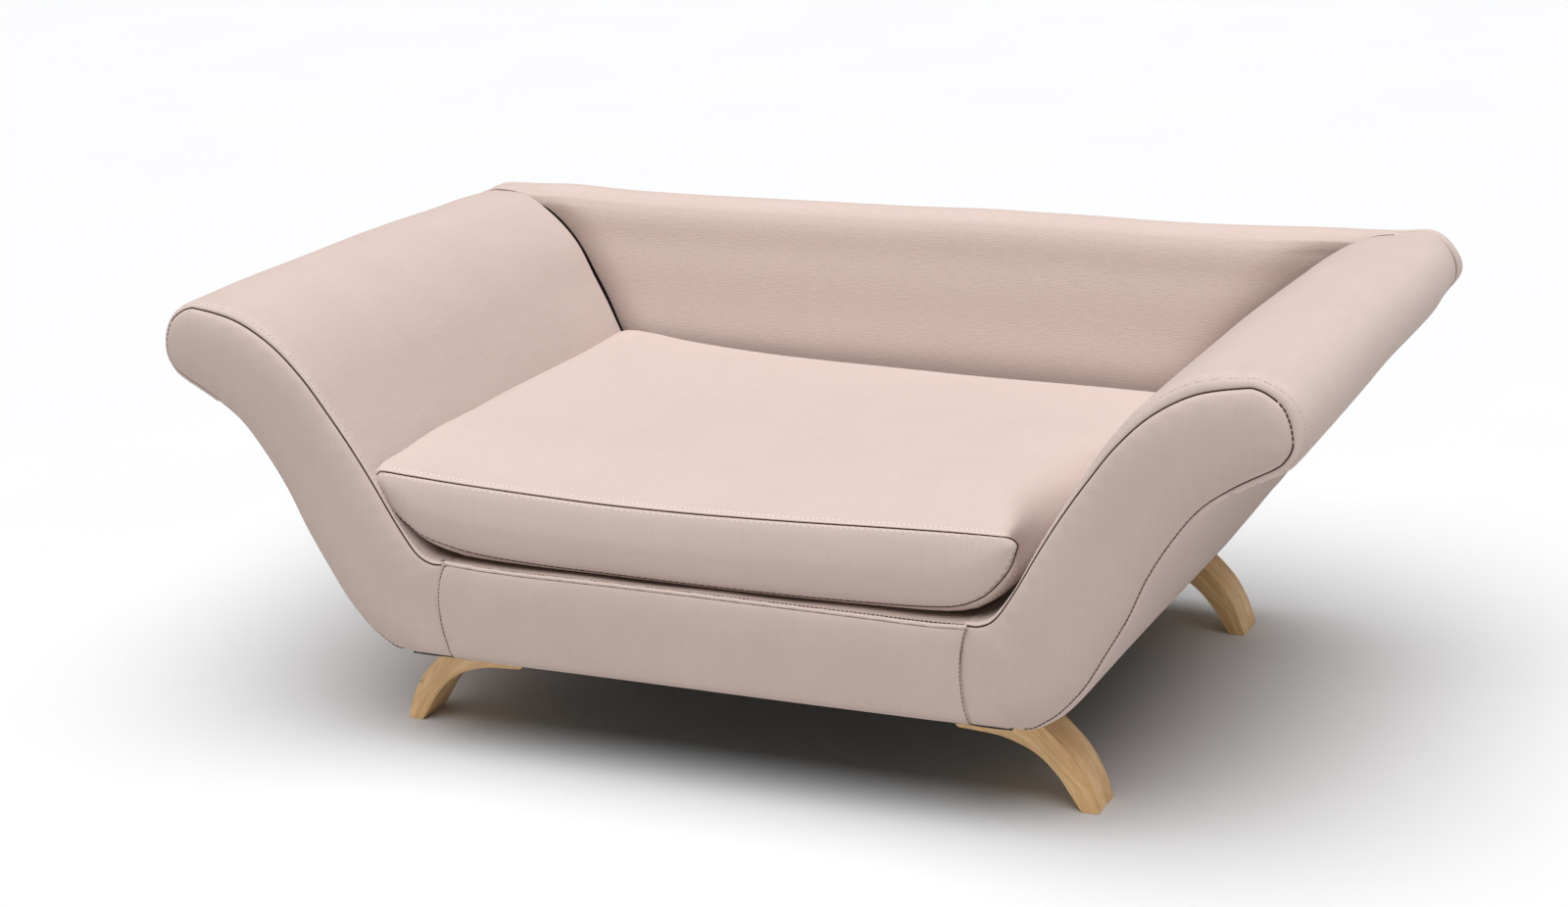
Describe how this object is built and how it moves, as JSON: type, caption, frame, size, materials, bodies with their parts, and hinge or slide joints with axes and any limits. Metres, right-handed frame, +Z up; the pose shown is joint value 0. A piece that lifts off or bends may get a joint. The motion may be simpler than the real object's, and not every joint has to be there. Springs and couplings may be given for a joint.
{
  "type": "dog sofa bed",
  "caption": "Small upholstered sofa bed for a dog, with splayed S-curved arms, a rolled back, a lift-out boxed cushion with a zip, and curved wooden legs.",
  "frame": {"origin": "middle of the object's footprint, on the floor that the legs stand on", "axes": "+X across the sofa towards its left arm as a sitter sees it, which is the right arm seen from the front; -Y out of the open front; +Z up"},
  "size_m": [1.008, 0.564, 0.3892],
  "materials": {
    "cover_fabric": "matte",
    "cushion_fabric": "matte",
    "seam_thread": "matte",
    "leg_wood": "satin",
    "frame_wood": "matte",
    "plywood": "matte",
    "hardboard": "matte",
    "foam": "matte",
    "dust_cloth": "matte",
    "zip_tape": "matte",
    "zip_teeth": "satin",
    "zip_metal": "satin",
    "steel": "satin"
  },
  "bodies": {
    "sofa": {"front_rail": "plywood", "rear_rail": "plywood", "left_side_rail": "plywood", "right_side_rail": "plywood", "centre_stretcher": "plywood", "left_leg_rail": "plywood", "right_leg_rail": "plywood", "seat_deck": "plywood", "corner_blocks": "frame_wood", "left_arm_front_rib": "plywood", "left_arm_mid_rib": "plywood", "left_arm_rear_rib": "plywood", "right_arm_front_rib": "plywood", "right_arm_mid_rib": "plywood", "right_arm_rear_rib": "plywood", "arm_top_poles": "frame_wood", "arm_battens": "frame_wood", "left_arm_inner_board": "hardboard", "right_arm_inner_board": "hardboard", "left_arm_outer_board": "hardboard", "right_arm_outer_board": "hardboard", "back_plate": "plywood", "back_ribs": "plywood", "back_board": "hardboard", "back_top_pole": "frame_wood", "frame_screws": "steel", "front_left_leg": "leg_wood", "front_right_leg": "leg_wood", "rear_left_leg": "leg_wood", "rear_right_leg": "leg_wood", "leg_bolts": "steel", "leg_washers": "steel", "leg_tee_nuts": "steel", "left_arm_foam": "foam", "right_arm_foam": "foam", "left_arm_front_pad": "foam", "right_arm_front_pad": "foam", "front_rail_pad": "foam", "back_foam": "foam", "left_arm_cover": "cover_fabric", "right_arm_cover": "cover_fabric", "left_arm_front_panel": "cover_fabric", "right_arm_front_panel": "cover_fabric", "left_side_panel": "cover_fabric", "right_side_panel": "cover_fabric", "front_rail_cover": "cover_fabric", "front_rail_welt": "cover_fabric", "back_cover": "cover_fabric", "rear_panel": "cover_fabric", "deck_cover": "cover_fabric", "dust_cover": "dust_cloth"},
    "cushion": {"cushion_foam": "foam", "cushion_cover": "cushion_fabric", "cushion_front_panel": "cushion_fabric", "cushion_rear_panel": "cushion_fabric", "zip_tape": "zip_tape", "zip_teeth": "zip_teeth"},
    "zip_slider": {"zip_slider": "zip_metal"},
    "zip_pull": {"zip_pull_tab": "zip_metal"}
  },
  "joints": [
    {"name": "cushion_lift", "type": "slide", "parent": "sofa", "child": "cushion", "axis": [0, 0, 1], "range_m": [0, 0.26]},
    {"name": "zip_slide", "type": "slide", "parent": "cushion", "child": "zip_slider", "axis": [1, 0, 0], "range_m": [-0.386, 0]},
    {"name": "zip_pull_swing", "type": "hinge", "parent": "zip_slider", "child": "zip_pull", "pos_m": [0.195, 0.177, 0.211], "axis": [0, 1, 0], "range_deg": [-75, 75]}
  ]
}
